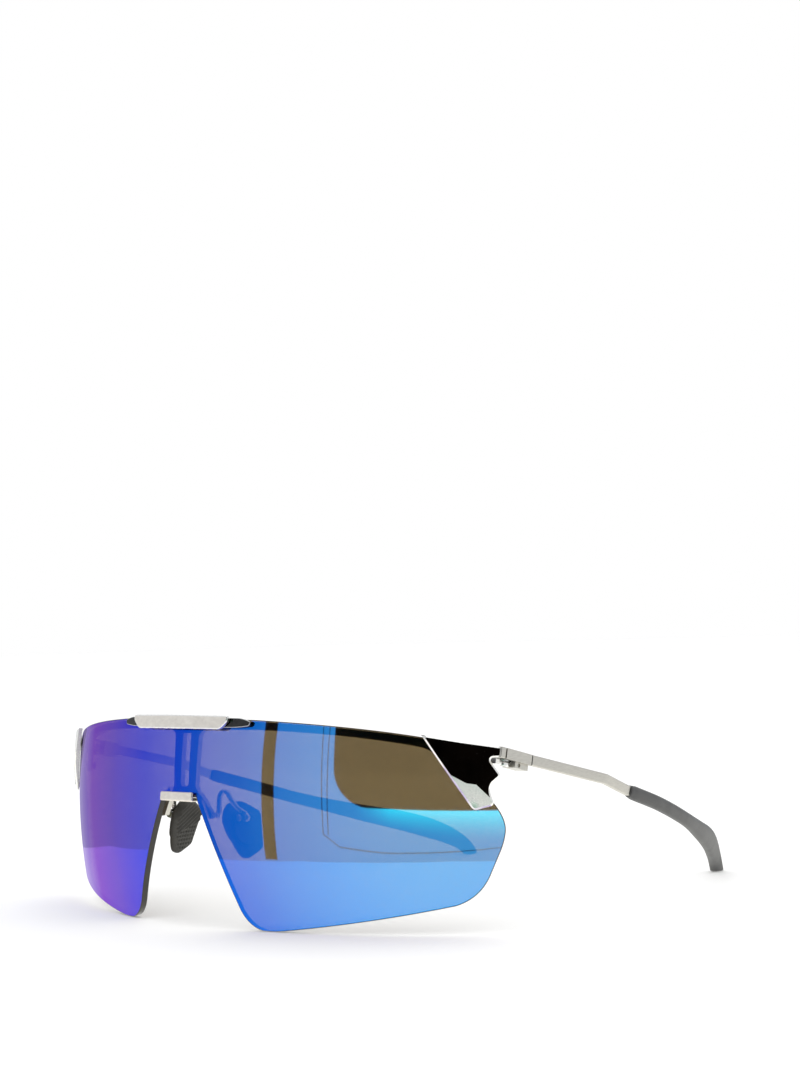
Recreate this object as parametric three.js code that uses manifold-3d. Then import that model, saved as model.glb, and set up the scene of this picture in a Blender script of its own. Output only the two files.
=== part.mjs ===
// Rimless shield sunglasses: one wraparound lens on a sprung, hinged metal frame.
// Millimetres, +Z up, +X to the wearer's left, -Y ahead of the wearer.
// The glasses stand open on the two lobes of the lens and on the two temple tips.

import * as THREE from 'three';
import { mergeVertices } from 'three/addons/utils/BufferGeometryUtils.js';
import { TessellateModifier } from 'three/addons/modifiers/TessellateModifier.js';
import Module from 'manifold-3d';

const wasm = await Module();
wasm.setup();

// ---------------------------------------------------------------- driving dimensions

const GAP = 0.3; // between pieces that touch or run in each other
const FRONT_TO_CENTRE = 70.577; // from the lens apex back to the middle of the whole length

const LENS_SIDE_RADIUS = 96; // curvature across the face
const LENS_HEIGHT_RADIUS = 128; // curvature up and down
const LENS_APEX_HEIGHT = 34.2;
const LENS_PITCH = THREE.MathUtils.degToRad(-5.2);
const LENS_THICKNESS = 1.4;
const LENS_HALF_WIDTH = 75.75; // along the curve
const NOTCH_TOP = -6.3; // top of the nose notch, from the apex
const CLIP_FLOOR = -6.95; // the bridge clip's ledge, under the notch's top
const CURVED_EDGE = 8; // longest straight edge on a wrapped plate
const DETAIL_SPAN = 7; // the lens's corners are kept this near to its middle and its tips

const FRAME_THICKNESS = 1.2;
const END_PLATE_THICKNESS = 1.2;
const CLIP_THICKNESS = 0.7;
const BROW_PLATE_THICKNESS = 0.8;
const SCREW_RADIUS = 0.5;
const SCREW_HOLE = 0.85;
const SCREW_HEAD_RADIUS = 1.05;
const SCREW_HEAD_HEIGHT = 0.6;
const BROW_SCREW_REACH = 9.5; // either side of the middle
const BROW_SCREW_RISE = 8.75;
const END_SCREWS = [
  { name: 'upper', s: 66.6, v: 2.6 },
  { name: 'lower', s: 67.3, v: -0.9 },
];

const HINGE = new THREE.Vector3(65.5, 30.25, 35.86); // pin centre, seen from the lens apex
const TEMPLE_DROP = THREE.MathUtils.degToRad(13.5);
const BARREL_Z = -0.85; // middle of the hinge barrel below the temple's centreline
const BARREL_RADIUS = 1.35;
const PIN_RADIUS = 0.45;
const PIN_HOLE = 0.75;
const ROD_RADIUS = 0.35;
const ROD_END = 5.3;
const SPRING_BORE = 1.05;
const BAND_INNER = 1.5; // the temple band lies outboard of the pin
const BAND_OUTER = 2.7;
const BAND_HALF_HEIGHT = 1.1;
const HOUSING_END = 5.9;
const CHEEK_START = -2.1; // the housing's outer cheek reaches this far ahead of the pin
const HOUSING_FRONT = 1.75; // the housing's front wall, behind the pin
const HOUSING_WALL = 0.8;
const HOUSING_INSIDE = -1.45; // the housing's inner face
const HOUSING_DEPTH = -2.3; // its lower face
const LEAF_FLOOR = -2.3; // underside of the fixed leaves
const LOWER_LEAF_TOP = -1.6;
const UPPER_LEAF_FLOOR = -0.1;
const LEAF_TOP = 0.5;
const MIDDLE_LEAF_HALF = 0.45;
const STOP_LENGTH = 0.7; // the rod's end stop
const STOP_RADIUS = 0.75;
const SPRING_INNER = 0.6;
const PIN_HEAD_RADIUS = 0.95;
const PEEP_HOLE = 0.42;
const SLEEVE_START = 40.2;
const CORE_END = 91;
const CORE_WIDTH = 0.8;
const CORE_HEIGHT = 1.4;
const BEYOND_TIP = 200;

const PAD_CENTRE = new THREE.Vector3(9.6, 9.3, 19.95);
const PAD_YAW = THREE.MathUtils.degToRad(-11.5);
const PAD_SPLAY = THREE.MathUtils.degToRad(-18.5);
const PAD_BACK = 0.8; // the back of the rubber, outboard of the pad's centre
const PAD_THICKNESS = 2;
const PAD_PIVOT = new THREE.Vector3(2.85, -0.5, 2);
const PAD_PIN_RADIUS = 0.4;
const PAD_PIN_HOLE = 0.7;
const PAD_CORE_THICKNESS = 0.55;
const EAR_RADIUS = 1;
const EAR_INNER = 0.7; // from the pivot's middle to the near and the far face of each ear
const EAR_OUTER = 1.3;
const EYE_RADIUS = 1.05;
const EYE_HALF_WIDTH = 0.4;
const WIRE_DIAMETER = 1.1;

// ---------------------------------------------------------------- materials

const metal = (color, roughness) => new THREE.MeshStandardMaterial({ color, roughness, metalness: 1 });
const satinSilver = () => metal(0xcdc6bd, 0.38);
const darkChrome = () => metal(0x77777a, 0.12);
const steel = () => metal(0xa8a8a8, 0.3);
const blackRubber = () => new THREE.MeshStandardMaterial({ color: 0x35342f, roughness: 0.8 });
const greySleeve = () => new THREE.MeshStandardMaterial({ color: 0x5d5d5d, roughness: 0.65 });
const mirroredBlue = () =>
  new THREE.MeshStandardMaterial({
    color: 0x3f6be0,
    roughness: 0.05,
    metalness: 0.7,
    transparent: true,
    opacity: 0.85,
  });

// ---------------------------------------------------------------- geometry helpers

/** Keeps only the corners of a geometry and joins those that coincide. */
function welded(geometry) {
  const bare = geometry.clone();
  bare.deleteAttribute('normal');
  bare.deleteAttribute('uv');
  return mergeVertices(bare, 1e-4);
}

function toSolid(geometry) {
  const mesh = welded(geometry);
  const vertProperties = new Float32Array(mesh.attributes.position.array);
  const triVerts = new Uint32Array(mesh.index.array);
  return new wasm.Manifold(new wasm.Mesh({ numProp: 3, vertProperties, triVerts }));
}

function toGeometry(solid) {
  const mesh = solid.getMesh();
  const geometry = new THREE.BufferGeometry();
  geometry.setAttribute('position', new THREE.BufferAttribute(mesh.vertProperties, 3));
  geometry.setIndex(new THREE.BufferAttribute(mesh.triVerts, 1));
  return geometry;
}

/** Joins the first list of geometries and cuts the second list out of them. */
function carve(joined, cut = []) {
  const whole = joined.map(toSolid).reduce((a, b) => a.add(b));
  return toGeometry(cut.map(toSolid).reduce((a, b) => a.subtract(b), whole));
}

/** A box given by its two opposite corners. */
function box(x0, x1, y0, y1, z0, z1) {
  return new THREE.BoxGeometry(x1 - x0, y1 - y0, z1 - z0).translate(
    (x0 + x1) / 2,
    (y0 + y1) / 2,
    (z0 + z1) / 2,
  );
}

/** A round bar along Z. */
function barZ(radius, z0, z1, x = 0, y = 0, sides = 20) {
  const bar = new THREE.CylinderGeometry(radius, radius, z1 - z0, sides);
  return bar.rotateX(Math.PI / 2).translate(x, y, (z0 + z1) / 2);
}

/** A round bar along Y. */
function barY(radius, y0, y1, x = 0, z = 0, sides = 16) {
  return new THREE.CylinderGeometry(radius, radius, y1 - y0, sides).translate(x, (y0 + y1) / 2, z);
}

/** A point at arc length s across the lens, height v on it, and w in front of its outer face. */
function onShield(s, v, w) {
  const turn = s / LENS_SIDE_RADIUS;
  const rise = Math.asin(v / LENS_HEIGHT_RADIUS);
  const shell = LENS_HEIGHT_RADIUS + w;
  const reach = LENS_SIDE_RADIUS - LENS_HEIGHT_RADIUS + shell * Math.cos(rise);
  const up = shell * Math.sin(rise);
  const back = LENS_SIDE_RADIUS - reach * Math.cos(turn);
  return new THREE.Vector3(
    reach * Math.sin(turn),
    back * Math.cos(LENS_PITCH) - up * Math.sin(LENS_PITCH),
    LENS_APEX_HEIGHT + back * Math.sin(LENS_PITCH) + up * Math.cos(LENS_PITCH),
  );
}

/** Bends a flat geometry, drawn in s, v and w, onto the lens curve. Nothing goes below the floor. */
function wrapped(flat) {
  const fine = new TessellateModifier(CURVED_EDGE, 60).modify(flat);
  const geometry = welded(fine);
  const corners = geometry.attributes.position;
  for (let i = 0; i < corners.count; i++) {
    const p = onShield(corners.getX(i), corners.getY(i), corners.getZ(i));
    corners.setXYZ(i, p.x, p.y, Math.max(p.z, 0));
  }
  return geometry;
}

/** An outline cut from flat sheet, wFront being its front face, then bent onto the lens curve. */
function curvedPlate(shape, wFront, thickness) {
  const sheet = new THREE.ExtrudeGeometry(shape, {
    depth: thickness,
    bevelEnabled: false,
    curveSegments: 6,
  });
  return wrapped(sheet.translate(0, 0, wFront - thickness));
}

/** A closed outline from its right half, which runs from the middle line back to the middle line. */
function bothHalves(rightHalf) {
  const right = rightHalf.getPoints(8);
  const left = right
    .slice(1, -1)
    .reverse()
    .map((p) => new THREE.Vector2(-p.x, p.y));
  return new THREE.Shape([...right, ...left]);
}

function roundHole(x, y, radius) {
  return new THREE.Path().absarc(x, y, radius, 0, 2 * Math.PI, false);
}

/** Runs a section along a curve. size(t) gives the section's width and height at t from 0 to 1. */
function swept(curve, size, steps, round) {
  const unit = round
    ? new THREE.CylinderGeometry(0.5, 0.5, 1, round, steps)
    : new THREE.BoxGeometry(1, 1, 1, 1, steps, 1);
  const corners = unit.attributes.position;
  for (let i = 0; i < corners.count; i++) {
    const t = THREE.MathUtils.clamp(corners.getY(i) + 0.5, 0, 1);
    const along = curve.getTangentAt(t);
    const across = new THREE.Vector3(1, 0, 0).addScaledVector(along, -along.x).normalize();
    const up = across.clone().cross(along);
    const { width, height } = size(t);
    const place = curve
      .getPointAt(t)
      .addScaledVector(across, corners.getX(i) * width)
      .addScaledVector(up, corners.getZ(i) * height);
    corners.setXYZ(i, place.x, place.y, place.z);
  }
  return unit;
}

function named(name, geometry, material) {
  const mesh = new THREE.Mesh(geometry, material);
  mesh.name = name;
  return mesh;
}

// ---------------------------------------------------------------- lens and the frame behind it

/** The lens's upper edge, from the middle out to the tip of the wrap. */
function lensTop() {
  const edge = new THREE.Path();
  edge.moveTo(0, 10);
  edge.lineTo(20, 9.95);
  edge.quadraticCurveTo(44, 9.2, 58, 7.4);
  edge.lineTo(66.5, 5.7);
  edge.quadraticCurveTo(69.2, 5.1, 69.3, 3);
  edge.lineTo(69.4, -1.5);
  edge.lineTo(73.2, -5.5);
  edge.quadraticCurveTo(75.7, -8.4, LENS_HALF_WIDTH, -10.3);
  return edge.getPoints(8);
}

/** The lens's lower edge, from the top of the nose notch round the lobe to the tip of the wrap. */
function lensBottom() {
  const edge = new THREE.Path();
  edge.moveTo(0, NOTCH_TOP);
  edge.lineTo(4.9, NOTCH_TOP);
  edge.quadraticCurveTo(5.4, NOTCH_TOP, 5.75, -7.6);
  edge.lineTo(16, -28.7);
  edge.quadraticCurveTo(18.1, -33.7, 23.6, -34.1);
  edge.quadraticCurveTo(46, -31.3, 66, -26.5);
  edge.quadraticCurveTo(71, -24.8, 72.9, -20.2);
  edge.lineTo(74.7, -15.5);
  edge.quadraticCurveTo(75.7, -13, LENS_HALF_WIDTH, -11.3);
  return edge.getPoints(8);
}

/** Height of an edge, a list of points running outward, at distance s from the middle. */
function heightAt(edge, s) {
  const next = Math.max(1, edge.findIndex((p) => p.x >= s));
  const [a, b] = [edge[next - 1], edge[next]];
  return THREE.MathUtils.mapLinear(s, a.x, b.x, a.y, b.y);
}

/** The distances from the middle at which either edge has a corner, with a few between. */
function columnsOf(...edges) {
  const all = edges.flat().map((p) => p.x);
  const fill = Array.from({ length: 14 }, (_, i) => (i * LENS_HALF_WIDTH) / 14);
  const columns = [LENS_HALF_WIDTH];
  for (const s of [...all, ...fill].sort((a, b) => b - a)) {
    const detailed = s > LENS_HALF_WIDTH - DETAIL_SPAN || s < DETAIL_SPAN;
    if (columns[0] - s > (detailed ? 0.2 : 0.9)) columns.unshift(s);
  }
  return [0, ...columns.filter((s) => s > 0.5)];
}

function screwPlaces() {
  const oneHalf = [...END_SCREWS, { s: BROW_SCREW_REACH, v: BROW_SCREW_RISE }];
  return oneHalf.flatMap(({ s, v }) => [
    { s, v },
    { s: -s, v },
  ]);
}

/** The lens blank is a grid between its two edges, bent to shape and drilled for the screws. */
function shieldLens() {
  const [top, bottom] = [lensTop(), lensBottom()];
  const half = columnsOf(top, bottom);
  const columns = [...half.slice(1).reverse().map((s) => -s), ...half];
  const rows = 6;
  const sheet = new THREE.BoxGeometry(columns.length - 1, 1, LENS_THICKNESS, columns.length - 1, rows, 1);
  const corners = sheet.attributes.position;
  for (let i = 0; i < corners.count; i++) {
    const s = columns[Math.round(corners.getX(i) + (columns.length - 1) / 2)];
    const low = heightAt(bottom, Math.abs(s));
    const high = heightAt(top, Math.abs(s));
    const v = THREE.MathUtils.lerp(low, high, corners.getY(i) + 0.5);
    corners.setXYZ(i, s, v, corners.getZ(i) - LENS_THICKNESS / 2);
  }
  const drills = screwPlaces().map(({ s, v }) => wrapped(barZ(SCREW_HOLE, -4, 3, s, v, 12)));
  return named('shield_lens', carve([wrapped(sheet)], drills), mirroredBlue());
}

/** Brow bar, slotted strut and yoke in one piece, with a lobe at each end for the end plate's screws. */
function browFrame() {
  const half = new THREE.Path();
  half.moveTo(0, 9.8);
  half.lineTo(20, 9.75);
  half.quadraticCurveTo(44, 9, 58, 7.2);
  half.lineTo(66, 5.5);
  half.quadraticCurveTo(68.8, 4.9, 68.9, 3);
  half.lineTo(68.9, -1);
  half.quadraticCurveTo(68.6, -2.8, 66.6, -2.4);
  half.quadraticCurveTo(64.6, -1.6, 62.6, 2.2);
  half.quadraticCurveTo(60.6, 5.2, 56, 5.7);
  half.quadraticCurveTo(40, 7.8, 20, 8);
  half.lineTo(5.6, 7.8);
  half.quadraticCurveTo(3.8, 7.4, 3.8, 5.6);
  half.lineTo(3.5, -4.4);
  half.quadraticCurveTo(3.9, -5.6, 5, -6.2);
  half.quadraticCurveTo(6.4, -7.4, 7.9, -9.6);
  half.lineTo(8.6, -10.4);
  half.lineTo(8.2, -11.3);
  half.lineTo(6.9, -11.1);
  half.lineTo(4.9, -7.4);
  half.quadraticCurveTo(4.5, -6.9, 3.8, -6.9);
  half.lineTo(0, -6.9);
  const outline = bothHalves(half);
  const slot = new THREE.Path();
  slot.moveTo(1.3, -3.6);
  slot.lineTo(1.3, 7);
  slot.lineTo(-1.3, 7);
  slot.lineTo(-1.3, -3.6);
  slot.quadraticCurveTo(-1.3, -4.7, 0, -4.7);
  slot.quadraticCurveTo(1.3, -4.7, 1.3, -3.6);
  outline.holes.push(slot, ...screwPlaces().map(({ s, v }) => roundHole(s, v, SCREW_HOLE)));
  const front = -LENS_THICKNESS - GAP;
  return named('brow_frame', curvedPlate(outline, front, FRAME_THICKNESS), satinSilver());
}

/** The polished strip over the lens that carries the brow plate and shows at its two ends. */
function browClip() {
  const half = new THREE.Path();
  half.moveTo(0, 10.2);
  half.lineTo(17.2, 10.15);
  half.lineTo(20, 9.4);
  half.lineTo(19.6, 8.5);
  half.lineTo(15, 8.1);
  half.lineTo(0, 8);
  const outline = bothHalves(half);
  return named('brow_clip', curvedPlate(outline, GAP + CLIP_THICKNESS, CLIP_THICKNESS), darkChrome());
}

function browPlate() {
  const half = new THREE.Path();
  half.moveTo(0, 10.55);
  half.lineTo(14.3, 10.5);
  half.quadraticCurveTo(14.9, 10.45, 14.9, 9.9);
  half.lineTo(14.8, 9.3);
  half.quadraticCurveTo(14.6, 9, 13.1, 7.8);
  half.lineTo(12.4, 7.6);
  half.lineTo(0, 7.6);
  const front = 2 * GAP + CLIP_THICKNESS + BROW_PLATE_THICKNESS;
  const plate = curvedPlate(bothHalves(half), front, BROW_PLATE_THICKNESS);
  return named('brow_plate', plate, satinSilver());
}

/** A headed screw, drawn along the lens normal at s, v, from its head behind the frame to the front. */
function shieldScrew(name, s, v) {
  const headTop = -LENS_THICKNESS - 2 * GAP - FRAME_THICKNESS;
  const profile = [
    new THREE.Vector2(0, headTop - SCREW_HEAD_HEIGHT),
    new THREE.Vector2(SCREW_HEAD_RADIUS, headTop - SCREW_HEAD_HEIGHT),
    new THREE.Vector2(SCREW_HEAD_RADIUS, headTop),
    new THREE.Vector2(SCREW_RADIUS, headTop),
    new THREE.Vector2(SCREW_RADIUS, 0),
    new THREE.Vector2(0, 0),
  ];
  const screw = new THREE.LatheGeometry(profile, 16).rotateX(Math.PI / 2).translate(s, v, 0);
  return named(name, wrapped(screw), steel());
}

/** A channel that hooks over the top of the nose notch, in front of the yoke. */
function bridgeClip() {
  const section = new THREE.Shape();
  section.moveTo(-LENS_THICKNESS, -7.7);
  section.lineTo(0.7, -7.7);
  section.quadraticCurveTo(1, -7.6, 1, -7.3);
  section.lineTo(0.9, -6);
  section.quadraticCurveTo(0.8, -5.7, 0.6, -5.7);
  section.lineTo(GAP, -5.7);
  section.lineTo(GAP, CLIP_FLOOR);
  section.lineTo(-LENS_THICKNESS, CLIP_FLOOR);
  section.closePath();
  const width = 10.2;
  const channel = new THREE.ExtrudeGeometry(section, {
    depth: width,
    bevelEnabled: false,
    curveSegments: 3,
    steps: 4,
  });
  // drawn as w across, v up and s along: turned so that its length runs across the lens
  channel.rotateY(Math.PI / 2).scale(1, 1, -1).translate(-width / 2, 0, 0);
  return named('bridge_clip', wrapped(flipped(channel)), satinSilver());
}

/** Turns a mirrored geometry's faces outward again. */
function flipped(geometry) {
  const inside = geometry.clone();
  const corners = inside.attributes.position.array;
  for (let i = 0; i < corners.length; i += 9) {
    for (let k = 0; k < 3; k++) {
      [corners[i + k], corners[i + 3 + k]] = [corners[i + 3 + k], corners[i + k]];
    }
  }
  return inside;
}

// ---------------------------------------------------------------- one side: end plate and hinge

/** The chromed plate on the lens corner, with the return that runs back to the hinge. */
function endPlate(side) {
  const outline = new THREE.Shape();
  outline.moveTo(58, 7.75);
  outline.quadraticCurveTo(62.6, 1.4, 68.4, -6.2);
  outline.quadraticCurveTo(68.9, -7, 69.8, -6.8);
  outline.lineTo(72.5, -6);
  outline.quadraticCurveTo(73.2, -5.6, 72.9, -4.9);
  outline.quadraticCurveTo(71.7, -2.6, 72.7, -1.3);
  outline.lineTo(73.8, -0.3);
  outline.quadraticCurveTo(74.3, 0.2, 73.8, 0.8);
  outline.lineTo(72.2, 2.9);
  outline.quadraticCurveTo(72, 3.6, 72.7, 3.7);
  outline.lineTo(74.2, 3.8);
  outline.lineTo(74.2, 5.9);
  outline.lineTo(66, 6.75);
  outline.closePath();
  const plate = curvedPlate(outline, GAP + END_PLATE_THICKNESS, END_PLATE_THICKNESS);
  const back = box(1.4, BAND_OUTER, -3.9, CHEEK_START - GAP, -BAND_HALF_HEIGHT, BAND_HALF_HEIGHT);
  back.applyMatrix4(hingeMatrix());
  return named(`end_plate_${side}`, carve([plate, back]), darkChrome());
}

/** The hinge's own frame: x outboard, y back along the temple, z along the pin. */
function hingeMatrix() {
  const turn = new THREE.Matrix4().makeRotationX(-TEMPLE_DROP);
  return turn.setPosition(HINGE);
}

/** The two fixed leaves of the hinge on their foot, inside the end plate's return. */
function hingeBlock(side) {
  const foot = box(-2, 0.8, -3.1, -1.9, LEAF_FLOOR, LEAF_TOP);
  const leaves = [
    [LEAF_FLOOR, LOWER_LEAF_TOP],
    [UPPER_LEAF_FLOOR, LEAF_TOP],
  ].flatMap(([z0, z1]) => [barZ(BARREL_RADIUS, z0, z1), box(-1.2, 0.7, -2.2, -0.2, z0, z1)]);
  const block = carve([foot, ...leaves], [barZ(PIN_HOLE, -3, 1)]);
  return named(`hinge_block_${side}`, block, steel());
}

function hingeScrew(side) {
  const shank = barZ(PIN_RADIUS, LEAF_FLOOR, LEAF_TOP + GAP + 0.1);
  const head = barZ(PIN_HEAD_RADIUS, LEAF_TOP + GAP, LEAF_TOP + GAP + 0.35);
  return named(`hinge_screw_${side}`, carve([shank, head]), steel());
}

/** The moving middle leaf, with the spring rod and its end stop. */
function hingePlunger(side) {
  const leaf = barZ(BARREL_RADIUS - 0.05, BARREL_Z - MIDDLE_LEAF_HALF, BARREL_Z + MIDDLE_LEAF_HALF);
  const rod = barY(ROD_RADIUS, 1, ROD_END, 0, BARREL_Z);
  const stop = barY(STOP_RADIUS, ROD_END - STOP_LENGTH, ROD_END, 0, BARREL_Z);
  const hole = barZ(PIN_HOLE, BARREL_Z - 1, BARREL_Z + 1);
  return named(`hinge_plunger_${side}`, carve([leaf, rod, stop], [hole]), steel());
}

/** The coil spring between the housing's front wall and the rod's stop, as a plain sleeve. */
function hingeSpring(side) {
  const front = HOUSING_FRONT + HOUSING_WALL + GAP;
  const back = ROD_END - STOP_LENGTH - GAP;
  const ring = [
    new THREE.Vector2(SPRING_INNER, front),
    new THREE.Vector2(STOP_RADIUS, front),
    new THREE.Vector2(STOP_RADIUS, back),
    new THREE.Vector2(SPRING_INNER, back),
    new THREE.Vector2(SPRING_INNER, front),
  ];
  const spring = new THREE.LatheGeometry(ring, 16).translate(0, 0, BARREL_Z);
  return named(`hinge_spring_${side}`, welded(spring), steel());
}

/** The spring box on the temple's front end, with the outer cheek that closes against the return. */
function springHousing(side) {
  const body = box(HOUSING_INSIDE, 1.9, HOUSING_FRONT, HOUSING_END, HOUSING_DEPTH, BAND_HALF_HEIGHT);
  const cheek = box(1.75, BAND_OUTER, CHEEK_START, HOUSING_END, -BAND_HALF_HEIGHT, BAND_HALF_HEIGHT);
  const bore = barY(SPRING_BORE, HOUSING_FRONT + HOUSING_WALL, HOUSING_END + 1, 0, BARREL_Z);
  const rodHole = barY(ROD_RADIUS + GAP, 1, 3, 0, BARREL_Z);
  const peepHole = barZ(PEEP_HOLE, 1.5, 3).rotateY(Math.PI / 2).translate(0, 3, -1.65);
  const housing = carve([body, cheek], [bore, rodHole, peepHole]);
  return named(`spring_housing_${side}`, housing, satinSilver());
}

// ---------------------------------------------------------------- one side: temple

/** The temple's centreline in the hinge's frame: a straight band, a bend, then the curved earpiece. */
function templeLine() {
  const line = new THREE.CurvePath();
  const middle = (BAND_INNER + BAND_OUTER) / 2;
  const bend = new THREE.Vector3(middle + 0.4, 31, 0.3);
  line.add(new THREE.LineCurve3(new THREE.Vector3(middle, HOUSING_END + GAP, 0), bend));
  const earpiece = [
    bend,
    new THREE.Vector3(1.9, 40, -0.7),
    new THREE.Vector3(0.3, 54, -1.4),
    new THREE.Vector3(-3.3, 69, -2.4),
    new THREE.Vector3(-9.2, 83.5, -3.1),
    new THREE.Vector3(-16.5, 98.5, -3.4),
    new THREE.Vector3(-22.2, 109.4, -4.3),
    new THREE.Vector3(-24.6, 114.5, -6.5),
    new THREE.Vector3(-25, 116.06, -10),
  ];
  line.add(new THREE.CatmullRomCurve3(earpiece, false, 'centripetal'));
  return line;
}

/** The part of the temple line between two distances back from the pin, as a curve of its own. */
function templeStretch(from, to) {
  const line = templeLine();
  const samples = line.getSpacedPoints(400);
  const within = samples.filter((p) => p.y >= from && p.y <= to);
  const stations = within.filter((p, i) => i % 12 === 0 || i === within.length - 1);
  return new THREE.CatmullRomCurve3(stations, false, 'centripetal');
}

function coreSize(extra = 0) {
  return () => ({ width: CORE_WIDTH + extra, height: CORE_HEIGHT + extra });
}

/** The metal band, bent at the middle of its length, and the thin core that it drives into the sleeve. */
function templeStrip(side) {
  const band = swept(
    templeStretch(HOUSING_END + GAP, SLEEVE_START - GAP),
    () => ({ width: BAND_OUTER - BAND_INNER, height: 2 * BAND_HALF_HEIGHT }),
    18,
  );
  const core = swept(templeStretch(SLEEVE_START - 2, CORE_END), coreSize(), 20);
  return named(`temple_strip_${side}`, carve([band, core]), satinSilver());
}

/** The rubber earpiece, deeper towards its tip, with a flat end that stands on the floor. */
function templeSleeve(side) {
  const length = templeStretch(SLEEVE_START, BEYOND_TIP);
  const size = (t) => {
    const nose = THREE.MathUtils.smoothstep(t, 0, 0.03);
    const swell = THREE.MathUtils.smoothstep(t, 0.5, 0.87);
    const taper = THREE.MathUtils.smoothstep(t, 0.88, 1);
    return { width: 2.1 + 0.4 * nose + 0.3 * swell, height: 2.6 + 0.5 * nose + 2.4 * swell - 1.6 * taper };
  };
  const rubber = swept(length, size, 26, 12);
  const bore = swept(templeStretch(SLEEVE_START - 2, CORE_END + 2), coreSize(2 * GAP), 20);
  const floor = box(-80, 80, -200, 200, -60, -HINGE.z).applyMatrix4(
    new THREE.Matrix4().makeRotationX(TEMPLE_DROP),
  );
  return named(`temple_sleeve_${side}`, carve([rubber], [bore, floor]), greySleeve());
}

// ---------------------------------------------------------------- one side: nose pad

/** The wire from the yoke's foot, up and over to an eye on the pad's pivot. */
function noseArm(side, padFrame) {
  const eye = PAD_PIVOT.clone().applyMatrix4(padFrame);
  const wire = new THREE.CatmullRomCurve3([
    new THREE.Vector3(7.9, 2.95, 23.4),
    new THREE.Vector3(8.1, 3.6, 23.9),
    new THREE.Vector3(8.3, 3.75, 25.4),
    new THREE.Vector3(8.3, 3.9, 27.2),
    new THREE.Vector3(8.5, 4.6, 28.4),
    new THREE.Vector3(8.9, 5.5, 28.1),
    new THREE.Vector3(9.4, 6.2, 26.6),
    new THREE.Vector3(10.3, 7.3, 24.7),
    new THREE.Vector3(eye.x, eye.y, eye.z + 0.8),
  ]);
  const { x, y, z } = PAD_PIVOT;
  const round = swept(wire, () => ({ width: WIRE_DIAMETER, height: WIRE_DIAMETER }), 22, 8);
  const ring = barY(EYE_RADIUS, y - EYE_HALF_WIDTH, y + EYE_HALF_WIDTH, x, z);
  const hole = barY(PAD_PIN_HOLE, y - 2, y + 2, x, z);
  const earRoom = [
    [-2, -EAR_INNER],
    [EAR_INNER, 2],
  ].map(([y0, y1]) => barY(EYE_RADIUS + GAP, y + y0, y + y1, x, z).applyMatrix4(padFrame));
  const arm = carve(
    [round, ring.applyMatrix4(padFrame)],
    [hole.applyMatrix4(padFrame), ...earRoom],
  );
  return named(`nose_arm_${side}`, arm, satinSilver());
}

/** An outline in the pad's own y and z, cut from sheet between two distances outboard. */
function padSheet(shape, x0, x1) {
  const sheet = new THREE.ExtrudeGeometry(shape, {
    depth: x1 - x0,
    bevelEnabled: false,
    curveSegments: 8,
  });
  // shape x goes to the pad's y, shape y to its z, and the depth to its x
  return sheet.rotateX(Math.PI / 2).rotateZ(Math.PI / 2).translate(x0, 0, 0);
}

function nosePad(side) {
  const outline = new THREE.Shape();
  outline.moveTo(-2.4, 6.1);
  outline.quadraticCurveTo(0.2, 6.7, 2.2, 5.4);
  outline.lineTo(4.2, 4.1);
  outline.quadraticCurveTo(4.9, 3.6, 4.8, 2.6);
  outline.lineTo(3.9, -3.6);
  outline.quadraticCurveTo(3.8, -4.4, 2.9, -4.9);
  outline.lineTo(0.4, -6.1);
  outline.quadraticCurveTo(-0.9, -6.5, -1.7, -5.6);
  outline.quadraticCurveTo(-2.7, -4.3, -3.2, -2.4);
  outline.quadraticCurveTo(-4.6, -0.4, -4.6, 2.4);
  outline.quadraticCurveTo(-4.2, 5.2, -2.4, 6.1);
  const pad = padSheet(outline, PAD_BACK - PAD_THICKNESS, PAD_BACK);
  return named(`nose_pad_${side}`, welded(pad), blackRubber());
}

/** The stiff back of the pad, with two ears for the pivot screw. */
function nosePadCore(side) {
  const outline = new THREE.Shape();
  outline.moveTo(-2.8, 3.4);
  outline.lineTo(2.2, 3.4);
  outline.lineTo(2.6, -1.2);
  outline.quadraticCurveTo(2.2, -3.4, -0.2, -3.6);
  outline.quadraticCurveTo(-2.4, -3.4, -2.8, -0.8);
  outline.closePath();
  const { x, y, z } = PAD_PIVOT;
  const face = PAD_BACK + GAP;
  const plate = padSheet(outline, face, face + PAD_CORE_THICKNESS);
  const ears = [
    [-EAR_OUTER, -EAR_INNER],
    [EAR_INNER, EAR_OUTER],
  ].flatMap(([y0, y1]) => [
    barY(EAR_RADIUS, y + y0, y + y1, x, z),
    box(face + 0.2, x, y + y0, y + y1, z - EAR_RADIUS, z + EAR_RADIUS),
  ]);
  const hole = barY(PAD_PIN_HOLE, y - 3, y + 3, x, z);
  return named(`nose_pad_core_${side}`, carve([plate, ...ears], [hole]), blackRubber());
}

function nosePadScrew(side) {
  const { x, y, z } = PAD_PIVOT;
  const shank = barY(PAD_PIN_RADIUS, y - 1.7, y + 1.3, x, z);
  const head = barY(0.8, y - 2, y - 1.6, x, z);
  return named(`nose_pad_screw_${side}`, carve([shank, head]), steel());
}

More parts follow.
